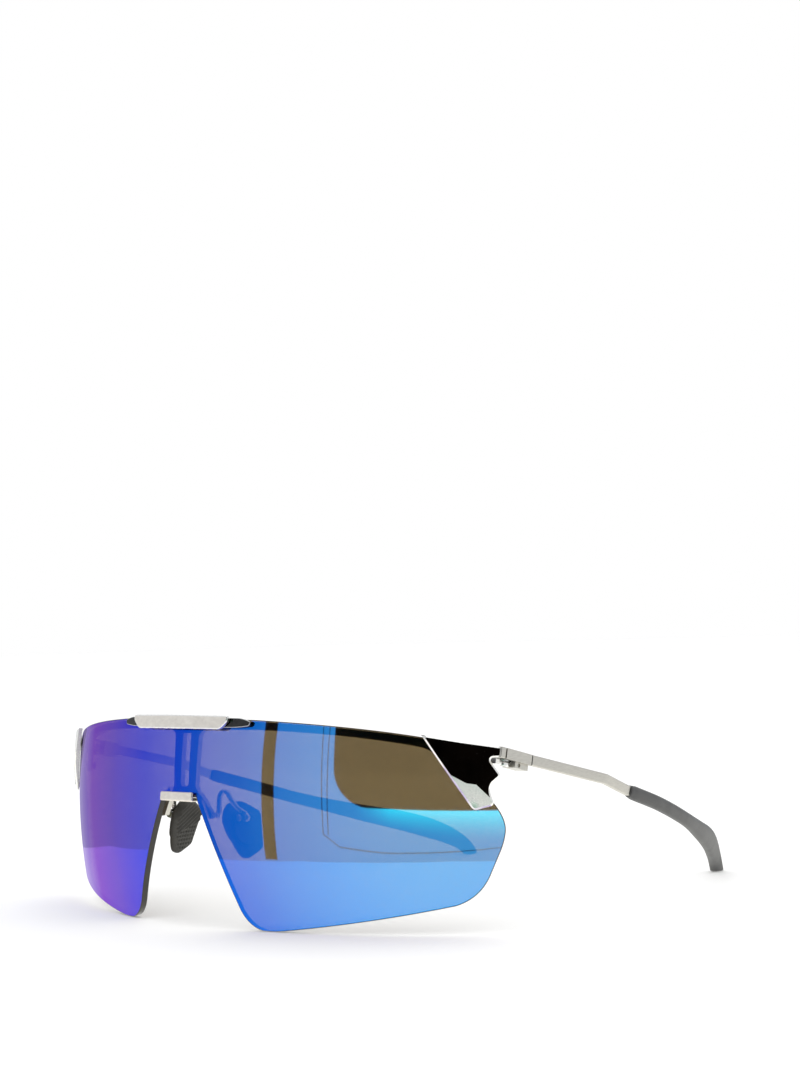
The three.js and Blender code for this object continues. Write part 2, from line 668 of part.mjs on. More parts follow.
/** Everything that is repeated left and right, drawn for the wearer's left. */
function oneSide(side) {
  const group = new THREE.Group();
  for (const { name, s, v } of END_SCREWS) {
    group.add(shieldScrew(`end_screw_${name}_${side}`, s, v));
  }
  group.add(shieldScrew(`brow_screw_${side}`, BROW_SCREW_REACH, BROW_SCREW_RISE));
  group.add(endPlate(side));

  const hinge = new THREE.Group();
  hinge.applyMatrix4(hingeMatrix());
  hinge.add(hingeBlock(side), hingeScrew(side), hingePlunger(side), hingeSpring(side));
  hinge.add(springHousing(side), templeStrip(side), templeSleeve(side));

  const pad = new THREE.Group();
  pad.rotation.set(0, PAD_SPLAY, PAD_YAW, 'ZYX');
  pad.position.copy(PAD_CENTRE);
  pad.updateMatrix();
  pad.add(nosePad(side), nosePadCore(side), nosePadScrew(side));
  group.add(noseArm(side, pad.matrix), pad, hinge);
  return group;
}

// ---------------------------------------------------------------- the whole object

const sunglasses = new THREE.Group();
sunglasses.add(shieldLens(), browFrame(), browClip(), browPlate(), bridgeClip());
const leftSide = oneSide('left');
const rightSide = oneSide('right');
rightSide.scale.x = -1;
sunglasses.add(leftSide, rightSide);
sunglasses.position.y = -FRONT_TO_CENTRE;

export default sunglasses;
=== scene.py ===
"""Rimless wraparound shield sunglasses: the visible model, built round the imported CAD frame.

The glasses are in millimetres until they are made, and the stage, lamp and camera in metres. On
the lens, s runs across it, v up it and w out of its front face.
"""

import math

import bmesh
import bpy
from mathutils import Matrix, Vector
from mathutils.geometry import delaunay_2d_cdt


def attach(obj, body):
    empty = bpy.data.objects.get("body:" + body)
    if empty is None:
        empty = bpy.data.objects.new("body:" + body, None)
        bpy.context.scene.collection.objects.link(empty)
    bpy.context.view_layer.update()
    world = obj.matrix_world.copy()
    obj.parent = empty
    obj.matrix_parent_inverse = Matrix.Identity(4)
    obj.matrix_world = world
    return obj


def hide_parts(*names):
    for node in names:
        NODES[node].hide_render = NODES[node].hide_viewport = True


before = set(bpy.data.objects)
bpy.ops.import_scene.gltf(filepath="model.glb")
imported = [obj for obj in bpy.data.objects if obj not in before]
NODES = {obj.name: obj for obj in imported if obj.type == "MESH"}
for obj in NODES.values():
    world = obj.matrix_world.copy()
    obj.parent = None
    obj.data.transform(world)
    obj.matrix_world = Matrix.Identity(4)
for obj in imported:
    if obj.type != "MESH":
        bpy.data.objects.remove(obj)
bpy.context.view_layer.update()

MM = 0.001
FRONT_TO_CENTRE = 70.577
SIDE_RADIUS = 96
HEIGHT_RADIUS = 128
APEX_HEIGHT = 34.2
PITCH = math.radians(-5.2)
LENS_THICKNESS = 1.4
CLIP_THICKNESS = 0.7
PLATE_THICKNESS = 0.8
END_THICKNESS = 1.2
GAP = 0.3
HINGE = Vector((65.5, 30.25 - FRONT_TO_CENTRE, 35.86))
TEMPLE_DROP = math.radians(13.5)
BAND_START = 5.98  # where the temple band leaves the spring housing, back from the pin
SLEEVE_START = 40.2
SIDES = (("left", 1), ("right", -1))

FILL_LIGHT = 1.06  # the even light that falls on everything
ROOM_LIGHT = 0.9  # how bright the room looks in a reflection
TABLE_LIGHT = 1.2  # how bright the near table looks in a reflection
LAMP_POWER = 3
LAMP_AT = (-0.5, 0.3, 1.4)
LAMP_SIZE = 1.2
WALL_Y = -0.9  # the plane of the cards that the lens mirrors

CAMERA_AT = (0.34915, -0.37543, 0.06233)
CAMERA_AZIMUTH, CAMERA_ELEVATION, CAMERA_ROLL = 42.85, -2.52, -1.52  # degrees
FOCAL_LENGTH, SENSOR_WIDTH = 72.23, 36  # millimetres


# ---------------------------------------------------------------- materials

NOISE_LOW, NOISE_HIGH = 0.3, 0.7  # where most of a noise's values lie


class Shader:
    """A node material with short calls for the few nodes used here."""

    def __init__(self, name):
        self.material = bpy.data.materials.new(name)
        self.material.use_nodes = True
        self.tree = self.material.node_tree
        self.tree.nodes.clear()
        self.out = self.add("ShaderNodeOutputMaterial")

    def add(self, kind, inputs=None, **settings):
        node = self.tree.nodes.new(kind)
        for key, value in settings.items():
            setattr(node, key, value)
        for key, value in (inputs or {}).items():
            if isinstance(value, bpy.types.NodeSocket):
                self.tree.links.new(value, node.inputs[key])
            else:
                node.inputs[key].default_value = value
        return node

    def place(self, stretch=(1, 1, 1)):
        """Object coordinates, in millimetres, stretched for brushed grain."""
        coords = self.add("ShaderNodeTexCoord")
        scale = tuple(k / MM for k in stretch)
        inputs = {"Vector": coords.outputs["Object"], "Scale": scale}
        return self.add("ShaderNodeMapping", inputs).outputs["Vector"]

    def noise(self, scale, detail=3, stretch=(1, 1, 1)):
        """Noise with scale waves to the millimetre."""
        inputs = {"Vector": self.place(stretch), "Scale": scale, "Detail": detail}
        return self.add("ShaderNodeTexNoise", inputs).outputs["Fac"]

    def spread(self, value, low, high, start=NOISE_LOW, end=NOISE_HIGH):
        """Maps start to end, at first the middle of a noise's range, onto low to high."""
        inputs = {"Value": value, "From Min": start, "From Max": end, "To Min": low, "To Max": high}
        return self.add("ShaderNodeMapRange", inputs).outputs["Result"]

    def ramp(self, value, stops):
        node = self.add("ShaderNodeValToRGB", {"Fac": value})
        elements = node.color_ramp.elements
        while len(elements) < len(stops):
            elements.new(0.5)
        for element, (position, colour) in zip(elements, stops):
            element.position = position
            element.color = (*colour, 1)
        return node.outputs["Color"]

    def colours(self, value, first, second):
        return self.ramp(value, [(NOISE_LOW, first), (NOISE_HIGH, second)])

    def bump(self, height, strength, depth):
        inputs = {"Height": height, "Strength": strength, "Distance": depth * MM}
        return self.add("ShaderNodeBump", inputs).outputs["Normal"]

    def mix(self, share, first, second):
        mixed = self.add("ShaderNodeMixShader", {"Fac": share, 1: first, 2: second})
        return mixed.outputs["Shader"]

    def clear(self, colour):
        if not isinstance(colour, bpy.types.NodeSocket):
            colour = (*colour, 1)
        return self.add("ShaderNodeBsdfTransparent", {"Color": colour}).outputs["BSDF"]

    def surface(self, socket):
        self.tree.links.new(socket, self.out.inputs["Surface"])
        return self.material


def metal(name, dark, light, rough, grain, depth, stretch=(1, 1, 1)):
    """Metal with a fine grain, cloudy colour and patchy roughness."""
    m = Shader(name)
    fine = m.noise(grain, 4, stretch)
    cloud = m.noise(0.35, 2)
    body = m.add(
        "ShaderNodeBsdfPrincipled",
        {
            "Base Color": m.colours(fine, dark, light),
            "Metallic": 1.0,
            "Roughness": m.spread(cloud, *rough),
            "Normal": m.bump(fine, 0.35, depth),
        },
    )
    return m.surface(body.outputs["BSDF"])


def moulded(name, dark, light, rough, grain, depth, strength=0.5):
    """Rubber or plastic with a fine moulded texture."""
    m = Shader(name)
    fine = m.noise(grain, 4)
    cloud = m.noise(0.3, 2)
    body = m.add(
        "ShaderNodeBsdfPrincipled",
        {
            "Base Color": m.colours(cloud, dark, light),
            "Roughness": m.spread(fine, *rough),
            "Normal": m.bump(fine, strength, depth),
        },
    )
    return m.surface(body.outputs["BSDF"])


COAT_COLOURS = [  # what the mirror coat reflects, from face on to edge on
    (0.00, (0.06, 0.44, 0.96)),
    (0.08, (0.03, 0.34, 0.96)),
    (0.20, (0.006, 0.18, 0.84)),
    (0.36, (0.004, 0.07, 0.78)),
    (0.46, (0.004, 0.045, 0.76)),
    (0.62, (0.15, 0.085, 0.58)),
    (0.75, (0.22, 0.085, 0.57)),
    (0.93, (0.46, 0.38, 0.74)),
]
COAT_SHARE = (0.75, 0.94)  # how much of the light the coat sends back, face on and turned away
COAT_TURN = (0.25, 0.6)  # the range of facing over which that share grows
BACK_GLOSS = 0.05


def coated_front():
    """The mirror coat: cyan-blue face on, blue and then violet as it turns away."""
    m = Shader("lens_mirror_coat")
    turn = m.add("ShaderNodeLayerWeight", {"Blend": 0.5}).outputs["Facing"]
    mirror = m.add(
        "ShaderNodeBsdfGlossy",
        {
            "Color": m.ramp(turn, COAT_COLOURS),
            "Roughness": 0.03,
            "Normal": m.bump(m.noise(0.9, 2), 0.15, 0.002),
        },
    )
    share = m.spread(turn, *COAT_SHARE, *COAT_TURN)
    return m.surface(m.mix(share, m.clear((1, 1, 1)), mirror.outputs["BSDF"]))


def tinted_back():
    """The brown tint of the lens, seen through the coat and from behind."""
    m = Shader("lens_brown_tint")
    tint = m.colours(m.noise(0.05, 1), (0.58, 0.41, 0.19), (0.61, 0.44, 0.215))
    gloss = m.add("ShaderNodeBsdfGlossy", {"Color": (1, 1, 1, 1), "Roughness": 0.04})
    return m.surface(m.mix(BACK_GLOSS, m.clear(tint), gloss.outputs["BSDF"]))


FRONT_COAT = coated_front()
BACK_TINT = tinted_back()
LENS_EDGE = moulded(
    "lens_edge", dark=(0.012, 0.009, 0.007), light=(0.022, 0.016, 0.012),
    rough=(0.16, 0.26), grain=5, depth=0.004, strength=0.2,
)
SATIN = metal(
    "satin_steel", dark=(0.8, 0.75, 0.69), light=(0.93, 0.88, 0.81),
    rough=(0.28, 0.42), grain=1.1, depth=0.012, stretch=(0.6, 1, 1),
)
BAND = metal(
    "band_steel", dark=(0.52, 0.5, 0.46), light=(0.64, 0.62, 0.57),
    rough=(0.28, 0.36), grain=3, depth=0.003, stretch=(4, 0.25, 4),
)
CHROME = metal(
    "polished_chrome", dark=(0.6, 0.6, 0.61), light=(0.66, 0.66, 0.67),
    rough=(0.04, 0.07), grain=1, depth=0.0003,
)
BLACK_CHROME = metal(
    "black_chrome", dark=(0.035, 0.035, 0.037), light=(0.05, 0.05, 0.052),
    rough=(0.06, 0.1), grain=1, depth=0.0003,
)
BRIGHT = metal(
    "bright_bevel", dark=(0.9, 0.89, 0.86), light=(0.97, 0.96, 0.94),
    rough=(0.22, 0.3), grain=4, depth=0.002,
)
PEENED = metal(
    "peened_facet", dark=(0.7, 0.7, 0.66), light=(0.88, 0.88, 0.83),
    rough=(0.24, 0.36), grain=4.5, depth=0.012,
)
HARDWARE = metal(
    "machined_steel", dark=(0.42, 0.42, 0.42), light=(0.56, 0.56, 0.55),
    rough=(0.24, 0.34), grain=5, depth=0.002,
)
SPRING = metal(
    "spring_steel", dark=(0.36, 0.36, 0.37), light=(0.52, 0.52, 0.53),
    rough=(0.2, 0.3), grain=2, depth=0.01, stretch=(0.2, 6, 0.2),
)
PAD_RUBBER = moulded(
    "pad_rubber", dark=(0.038, 0.036, 0.031), light=(0.06, 0.057, 0.049),
    rough=(0.55, 0.68), grain=6, depth=0.01,
)
SLEEVE_RUBBER = moulded(
    "sleeve_rubber", dark=(0.055, 0.055, 0.055), light=(0.075, 0.075, 0.075),
    rough=(0.42, 0.52), grain=7, depth=0.006,
)
CORE_PLASTIC = moulded(
    "pad_core_plastic", dark=(0.03, 0.03, 0.03), light=(0.05, 0.05, 0.05),
    rough=(0.3, 0.42), grain=5, depth=0.004,
)


# ---------------------------------------------------------------- the lens surface


def on_shield(s, v, w):
    """A point on the lens's double curve, in metres in the row frame."""
    turn = s / SIDE_RADIUS
    rise = math.asin(v / HEIGHT_RADIUS)
    shell = HEIGHT_RADIUS + w
    reach = SIDE_RADIUS - HEIGHT_RADIUS + shell * math.cos(rise)
    up = shell * math.sin(rise)
    back = SIDE_RADIUS - reach * math.cos(turn)
    return Vector(
        (
            reach * math.sin(turn),
            back * math.cos(PITCH) - up * math.sin(PITCH) - FRONT_TO_CENTRE,
            max(APEX_HEIGHT + back * math.sin(PITCH) + up * math.cos(PITCH), 0),
        )
    ) * MM


def shield_normal(point):
    """The outward normal of the lens's curve at a point near it."""
    x, y, z = point / MM
    y, z = y + FRONT_TO_CENTRE, z - APEX_HEIGHT
    back = y * math.cos(PITCH) + z * math.sin(PITCH)
    up = z * math.cos(PITCH) - y * math.sin(PITCH)
    out = Vector((x, back - SIDE_RADIUS))
    reach = out.length - (SIDE_RADIUS - HEIGHT_RADIUS)
    out = out.normalized() * reach
    y = out.y * math.cos(PITCH) - up * math.sin(PITCH)
    z = out.y * math.sin(PITCH) + up * math.cos(PITCH)
    return Vector((out.x, y, z)).normalized()


def path(*steps, fine=8):
    """Points along a line of corners: a pair goes straight there, a pair of pairs curves there."""
    points = []
    for step in steps:
        if isinstance(step[0], tuple):
            a, b, c = Vector(points[-1]), Vector(step[0]), Vector(step[1])
            for i in range(1, fine + 1):
                t = i / fine
                points.append(tuple(a * (1 - t) ** 2 + b * 2 * t * (1 - t) + c * t * t))
        else:
            points.append(step)
    return points


def both_halves(right):
    """The whole closed outline, from the half at positive s."""
    return right + [(-s, v) for s, v in reversed(right[1:-1])]


def refined(loop, step):
    """A closed loop with no edge longer than step."""
    points = []
    for a, b in zip(loop, loop[1:] + loop[:1]):
        a, b = Vector(a), Vector(b)
        count = max(1, math.ceil((b - a).length / step))
        points += [a.lerp(b, i / count) for i in range(count)]
    return points


def inside(point, loop):
    """Whether a point lies within a closed loop."""
    x, y = point
    odd = False
    for a, b in zip(loop, loop[1:] + loop[:1]):
        if (a[1] > y) != (b[1] > y) and x < a[0] + (y - a[1]) * (b[0] - a[0]) / (b[1] - a[1]):
            odd = not odd
    return odd


def to_edge(p, loop):
    """The distance from a point to a closed loop."""
    best = math.inf
    for a, b in zip(loop, loop[1:] + loop[:1]):
        a, b = Vector(a), Vector(b)
        t = min(max((p - a).dot(b - a) / (b - a).length_squared, 0), 1)
        best = min(best, (p - a.lerp(b, t)).length)
    return best


def inset(loop, depth):
    """A closed loop moved inward by depth, without the points that another edge is nearer to."""
    area = sum(a.x * b.y - b.x * a.y for a, b in zip(loop, loop[1:] + loop[:1]))
    inward = math.copysign(1, area)
    moved = []
    for before, p, after in zip(loop[-1:] + loop[:-1], loop, loop[1:] + loop[:1]):
        n1 = Vector((before.y - p.y, p.x - before.x)).normalized() * inward
        n2 = Vector((p.y - after.y, after.x - p.x)).normalized() * inward
        q = p + (n1 + n2) * depth / max(1 + n1.dot(n2), 0.5)
        if to_edge(q, loop) > 0.9 * depth:
            moved.append(q)
    return moved


SPACING = 0.72  # how near a grid point may come to a point of a loop, in steps


def sheet_triangles(outline, step, creases=(), rings=()):
    """A flat triangulated sheet: its points, its triangles, and each point's depth from the border.

    rings are the depths at which a loop of points follows the border. Points inside them all count
    as infinitely deep.
    """
    border = refined(outline, step)
    points, edges, known = [], [], []
    for depth, loop in [(0, border)] + [(d, inset(border, d)) for d in rings]:
        first = len(points)
        ids = list(range(first, first + len(loop)))
        points += loop
        known += [depth] * len(loop)
        edges += list(zip(ids, ids[1:] + ids[:1]))
    for crease in creases:
        first = len(points)
        points += [Vector(p) for p in crease]
        edges += [(i, i + 1) for i in range(first, len(points) - 1)]
    known += [None] * (len(points) - len(known))
    cells = {}
    for p in points:
        cells.setdefault((p.x // step, p.y // step), []).append(p)
    low_x, low_y = min(p.x for p in border), min(p.y for p in border)
    high_x, high_y = max(p.x for p in border), max(p.y for p in border)
    for i in range(1, int((high_x - low_x) / step) + 1):
        for j in range(1, int((high_y - low_y) / step) + 1):
            p = Vector((low_x + i * step, low_y + j * step))
            if not inside(p, border):
                continue
            column, row = p.x // step, p.y // step
            around = [(column + dx, row + dy) for dx in (-1, 0, 1) for dy in (-1, 0, 1)]
            near = [q for cell in around for q in cells.get(cell, [])]
            if all((p - q).length > SPACING * step for q in near):
                points.append(p)
                known.append(math.inf)
    verts, _, faces, sources, *_ = delaunay_2d_cdt(points, edges, [], 0, 1e-5, True)
    depths = []
    for v, source in zip(verts, sources):
        given = [known[k] for k in source if known[k] is not None]
        depths.append(min(given) if given else to_edge(v, border))
    kept = []
    for f in faces:
        middle = (verts[f[0]] + verts[f[1]] + verts[f[2]]) / 3
        if inside(middle, border):
            kept.append(list(f))
    return verts, kept, depths


def mesh_object(name, bm, materials):
    mesh = bpy.data.meshes.new(name)
    bm.to_mesh(mesh)
    bm.free()
    for polygon in mesh.polygons:
        polygon.use_smooth = True
    for material in materials:
        mesh.materials.append(material)
    piece = bpy.data.objects.new(name, mesh)
    bpy.context.scene.collection.objects.link(piece)
    return piece


FRONT, BACK, RIM, EDGE, FACET = range(5)  # the material slots of a curved plate


def curved_plate(name, outline, w_front, thickness, materials, step, edge, creases=(),
                 group=None, dip=None, mirrored=False, chamfered=False):
    """A plate cut to an outline and bent onto the lens curve, its front edge rounded or chamfered.

    w_front is the height of its front, and edge the width of that edge. group gives the slot of a
    front face by its middle, and dip how far a point of the front is sunk.
    """
    rings = (edge,) if chamfered else (0.3 * edge, edge)
    verts, faces, depths = sheet_triangles(outline, step, creases, rings)
    flip = -1 if mirrored else 1
    bm = bmesh.new()
    front, back = [], []
    for v, depth in zip(verts, depths):
        short = max(edge - depth, 0)
        drop = short if chamfered else edge - math.sqrt(edge**2 - short**2)
        sink = dip(v) if dip else 0
        front.append(bm.verts.new(on_shield(flip * v.x, v.y, w_front - sink - drop)))
        back.append(bm.verts.new(on_shield(flip * v.x, v.y, w_front - thickness)))
    uses = set()
    for f in faces:
        middle = (verts[f[0]] + verts[f[1]] + verts[f[2]]) / 3
        a, b, c = (verts[i] for i in f)
        if (b - a).cross(c - a) * flip < 0:
            f = f[::-1]
        at_edge = min(depths[i] for i in f) < 0.99 * edge
        top = bm.faces.new([front[i] for i in f])
        top.material_index = EDGE if at_edge else group(middle) if group else FRONT
        bottom = bm.faces.new([back[i] for i in reversed(f)])
        bottom.material_index = BACK
        uses.update(zip(f, f[1:] + f[:1]))
    for i, j in sorted(uses):
        if (j, i) not in uses:
            wall = bm.faces.new([front[j], front[i], back[i], back[j]])
            wall.material_index = RIM
    bm.normal_update()
    piece = mesh_object(name, bm, materials)
    set_plate_normals(piece.data, chamfered)
    return piece


def set_plate_normals(mesh, chamfered):
    """Exact normals on the curved faces, and smooth ones that meet them on the rounded edges."""
    by_vert = {}
    for polygon in mesh.polygons:
        for v in polygon.vertices:
            by_vert.setdefault(v, []).append(polygon)
    smooth = {}

    def own(v, kind):
        """The mean normal of one kind of face around a vertex."""
        if (v, kind) not in smooth:
            total = Vector()
            for q in by_vert[v]:
                if q.material_index == kind:
                    total += q.normal * q.area
            smooth[v, kind] = total.normalized()
        return smooth[v, kind]

    normals = []
    for polygon in mesh.polygons:
        for v in polygon.vertices:
            kinds = {q.material_index for q in by_vert[v]}
            kind = polygon.material_index
            if kind == EDGE and not chamfered:  # a rounded edge meets its face smoothly
                kind = min(kinds - {EDGE}, default=EDGE)
            if kind == FRONT:
                normals.append(shield_normal(mesh.vertices[v].co))
            elif kind == BACK:
                normals.append(-shield_normal(mesh.vertices[v].co))
            else:
                normals.append(own(v, kind))
    mesh.normals_split_custom_set([tuple(n) for n in normals])


# ---------------------------------------------------------------- swept pieces


def catmull(points, count, fine=24):
    """Evenly spaced points on a centripetal Catmull-Rom curve through the given ones."""
    pts = [Vector(p) for p in points]
    pts = [pts[0] * 2 - pts[1]] + pts + [pts[-1] * 2 - pts[-2]]
    dense = []
    for k in range(1, len(pts) - 2):
        p0, p1, p2, p3 = pts[k - 1 : k + 3]
        t0, t1 = 0, (p1 - p0).length ** 0.5
        t2 = t1 + (p2 - p1).length ** 0.5
        t3 = t2 + (p3 - p2).length ** 0.5
        for i in range(fine):
            t = t1 + (t2 - t1) * i / fine
            a1 = p0 * ((t1 - t) / (t1 - t0)) + p1 * ((t - t0) / (t1 - t0))
            a2 = p1 * ((t2 - t) / (t2 - t1)) + p2 * ((t - t1) / (t2 - t1))
            a3 = p2 * ((t3 - t) / (t3 - t2)) + p3 * ((t - t2) / (t3 - t2))
            b1 = a1 * ((t2 - t) / (t2 - t0)) + a2 * ((t - t0) / (t2 - t0))
            b2 = a2 * ((t3 - t) / (t3 - t1)) + a3 * ((t - t1) / (t3 - t1))
            dense.append(b1 * ((t2 - t) / (t2 - t1)) + b2 * ((t - t1) / (t2 - t1)))
    dense.append(pts[-2])
    return even(dense, count)


def even(line, count):
    """The same line as count + 1 points, evenly spaced."""
    lengths = [0]
    for a, b in zip(line, line[1:]):
        lengths.append(lengths[-1] + (b - a).length)
    result, k = [], 0
    for i in range(count + 1):
        want = lengths[-1] * i / count
        while k < len(lengths) - 2 and lengths[k + 1] < want:
            k += 1
        share = (want - lengths[k]) / (lengths[k + 1] - lengths[k])
        result.append(line[k].lerp(line[k + 1], min(max(share, 0), 1)))
    return result


def sweep(bm, line, section, place, floor=False):
    """Skins sections along a line: section(t) gives points across and up, and place maps them to
    the row frame. With floor, nothing sinks below it."""
    rings = []
    last = len(line) - 1
    for i, p in enumerate(line):
        along = (line[min(i + 1, last)] - line[max(i - 1, 0)]).normalized()
        across = (Vector((1, 0, 0)) - along * along.x).normalized()
        up = across.cross(along)
        ring = []
        for a, b in section(i / last):
            q = place @ (p + across * a + up * b)
            if floor:
                q.z = max(q.z, 0)
            ring.append(bm.verts.new(q * MM))
        rings.append(ring)
    for one, two in zip(rings, rings[1:]):
        n = len(one)
        for k in range(n):
            bm.faces.new([one[k], one[(k + 1) % n], two[(k + 1) % n], two[k]])
    bm.faces.new(list(reversed(rings[0])))
    bm.faces.new(rings[-1])


def ellipse(width, height, sides=32, power=1.0):
    """An ellipse, squarer where power is below 1."""
    points = []
    for k in range(sides):
        a = 2 * math.pi * k / sides
        c, s = math.cos(a), math.sin(a)
        points.append(
            (
                width / 2 * math.copysign(abs(c) ** power, c),
                height / 2 * math.copysign(abs(s) ** power, s),
            )
        )
    return points


def rounded_rectangle(width, height, radius, fine=4):
    points = []
    for cx, cy, start in ((1, 1, 0), (-1, 1, 90), (-1, -1, 180), (1, -1, 270)):
        for i in range(fine + 1):
            a = math.radians(start + 90 * i / fine)
            points.append(
                (
                    cx * (width / 2 - radius) + radius * math.cos(a),
                    cy * (height / 2 - radius) + radius * math.sin(a),
                )
            )
    return points


def smoothstep(x, low, high):
    t = min(max((x - low) / (high - low), 0), 1)
    return t * t * (3 - 2 * t)


def mirror_matrix(sign):
    return Matrix.Diagonal((sign, 1, 1, 1))


def hinge_place(sign):
    """From the hinge's frame (x outboard, y back, z along the pin) to the row frame."""
    return mirror_matrix(sign) @ Matrix.Translation(HINGE) @ Matrix.Rotation(-TEMPLE_DROP, 4, "X")


def turn_outward(bm):
    """Turns faces outward, whatever side they were built for, by normals that must be current.

    The right end plate's return is mirrored into place after it is made, so its normals are out of
    date and it stays inside out.
    """
    bmesh.ops.recalc_face_normals(bm, faces=bm.faces)


def weighted(piece):
    """Normals weighted to the large faces."""
    piece.modifiers.new("normals", "WEIGHTED_NORMAL").keep_sharp = True
    return piece


def show_cad(node, material, width):
    """A CAD node keeps its shape and gets joined corners, fine rounded edges and a material."""
    piece = NODES[node]
    piece.data.materials.clear()
    piece.data.materials.append(material)
    weld = piece.modifiers.new("weld", "WELD")
    weld.merge_threshold = 1e-6
    flat = piece.modifiers.new("flat", "DECIMATE")
    flat.decimate_type = "DISSOLVE"
    flat.angle_limit = math.radians(0.4)
    for polygon in piece.data.polygons:
        polygon.use_smooth = True
    bevel = piece.modifiers.new("bevel", "BEVEL")
    bevel.width = width * MM
    bevel.segments = 2
    bevel.limit_method = "ANGLE"
    bevel.angle_limit = math.radians(35)
    bevel.use_clamp_overlap = True
    weighted(piece)


def finished(piece, body, slot, *nodes):
    """Hangs a piece on the body that it rides on, and hides the CAD nodes that it stands in for.
    slot is not used.
    """
    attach(piece, body)
    if nodes:
        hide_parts(*nodes)


# ---------------------------------------------------------------- front


def lens():
    """One piece for both eyes, notched for the nose, without the holes for its screws."""
    half = path(
        (0, -6.3), (4.9, -6.3), ((5.4, -6.3), (5.75, -7.6)), (16, -28.7),
        ((18.1, -33.7), (23.6, -34.1)), ((46, -31.3), (66, -26.5)), ((71, -24.8), (72.9, -20.2)),
        (74.7, -15.5), ((75.7, -13), (75.75, -10.8)), ((75.7, -8.4), (73.2, -5.5)), (69.4, -1.5),
        (69.3, 3), ((69.2, 5.1), (66.5, 5.7)), (58, 7.4), ((44, 9.2), (20, 9.95)), (0, 10), fine=12,
    )
    piece = curved_plate(
        "mirrored_lens", both_halves(half), 0, LENS_THICKNESS,
        [FRONT_COAT, BACK_TINT, LENS_EDGE, LENS_EDGE], step=1.5, edge=0.2,
    )
    finished(piece, "front", "mirrored_lens", "shield_lens")


def brow_plate():
    """The satin strip on top of the clip."""
    half = path(
        (0, 10.55), (14.3, 10.5), ((14.9, 10.45), (14.9, 9.9)), (14.8, 9.3),
        ((14.6, 9), (13.1, 7.8)), (12.4, 7.6), (0, 7.6), fine=6,
    )
    piece = curved_plate(
        "brow_plate_satin", both_halves(half), GAP + CLIP_THICKNESS + GAP + PLATE_THICKNESS,
        PLATE_THICKNESS, [SATIN, SATIN, BRIGHT, BRIGHT], step=0.7, edge=0.3,
    )
    finished(piece, "front", "satin_steel", "brow_plate")


def brow_clip():
    """The dark polished strip on the lens's top edge."""
    half = path(
        (0, 10.2), (17.2, 10.15), ((19.2, 9.9), (20, 9.4)), ((20.1, 8.9), (19.6, 8.5)),
        ((17, 8.1), (15, 8.1)), (0, 8), fine=5,
    )
    piece = curved_plate(
        "brow_clip_polished", both_halves(half), GAP + CLIP_THICKNESS, CLIP_THICKNESS,
        [BLACK_CHROME, BLACK_CHROME, BLACK_CHROME, HARDWARE], step=0.8, edge=0.15,
    )
    finished(piece, "front", "polished_chrome", "brow_clip")


FACET_LINE = [(62.6, 1.95), (63.9, 0.1), (67.4, -1.6), (69.4, -1.8), (72.6, -4.6)]


def below_facet_line(p):
    """How far a point lies below the crease between the polished face and the lower facet."""
    for a, b in zip(FACET_LINE, FACET_LINE[1:]):
        if a[0] <= p[0] <= b[0]:
            return (b[1] - a[1]) / (b[0] - a[0]) * (p[0] - a[0]) + a[1] - p[1]
    return -1  # beside the crease, so above it


FACET_SLOPE = 0.16  # how fast the facet falls away below its crease
FACET_DEPTH = 0.6
RETURN_LOW, RETURN_HIGH = Vector((1.4, -3.9, -1.1)), Vector((2.7, -2.4, 1.1))
RETURN_ROUND = 0.18


def end_plate(side, sign):
    """The polished plate at one end of the lens, and its return towards the hinge."""
    outline = path(
        (58, 7.75), ((62.6, 1.4), (68.4, -6.2)), ((68.9, -7), (69.8, -6.8)), (72.5, -6),
        ((73.2, -5.6), (72.9, -4.9)), ((71.7, -2.6), (72.7, -1.3)), (73.8, -0.3),
        ((74.3, 0.2), (73.8, 0.8)), (72.2, 2.9), ((72, 3.6), (72.7, 3.7)), (74.2, 3.8), (74.2, 5.9),
        (66, 6.75), fine=8,
    )
    piece = curved_plate(
        f"end_plate_polished_{side}", outline, GAP + END_THICKNESS, END_THICKNESS,
        [CHROME, HARDWARE, HARDWARE, BRIGHT, PEENED],
        step=0.6, edge=0.35, chamfered=True, creases=[FACET_LINE],
        group=lambda p: FACET if below_facet_line(p) > 0 else FRONT,
        dip=lambda p: min(FACET_SLOPE * max(below_facet_line(p), 0), FACET_DEPTH),
        mirrored=sign < 0,
    )
    finished(piece, "front", "polished_chrome")
    bm = bmesh.new()
    bmesh.ops.create_cube(bm, size=1)
    low, size = RETURN_LOW, RETURN_HIGH - RETURN_LOW
    for v in bm.verts:
        v.co = [low[k] + (v.co[k] + 0.5) * size[k] for k in range(3)]
    bmesh.ops.bevel(
        bm, geom=bm.edges[:], offset=RETURN_ROUND, offset_type="OFFSET", segments=3,
        profile=0.5, affect="EDGES",
    )
    for v in bm.verts:
        v.co = (hinge_place(sign) @ v.co) * MM
    turn_outward(bm)
    back = weighted(mesh_object(f"end_plate_return_{side}", bm, [BAND]))
    finished(back, "front", "polished_chrome", f"end_plate_{side}")


# ---------------------------------------------------------------- temples


BAND_WIDTH, BAND_HEIGHT, BAND_CORNER = 1.2, 2.2, 0.22
BAND_OVERLAP = 0.2  # how far the band runs into the sleeve


def temple_line():
    """The middle of the temple, in the hinge's frame: straight to the bend, then a long curve."""
    bend = Vector((2.5, 31, 0.3))
    straight = [Vector((2.1, BAND_START, 0)).lerp(bend, i / 60) for i in range(60)]
    curve = catmull(
        [bend, (1.9, 40, -0.7), (0.3, 54, -1.4), (-3.3, 69, -2.4), (-9.2, 83.5, -3.1),
         (-16.5, 98.5, -3.7), (-21.2, 107.4, -5.0), (-23.8, 112.6, -6.8), (-24.8, 115.2, -8.8),
         (-25, 116.06, -10)],
        400,
    )
    return straight + curve


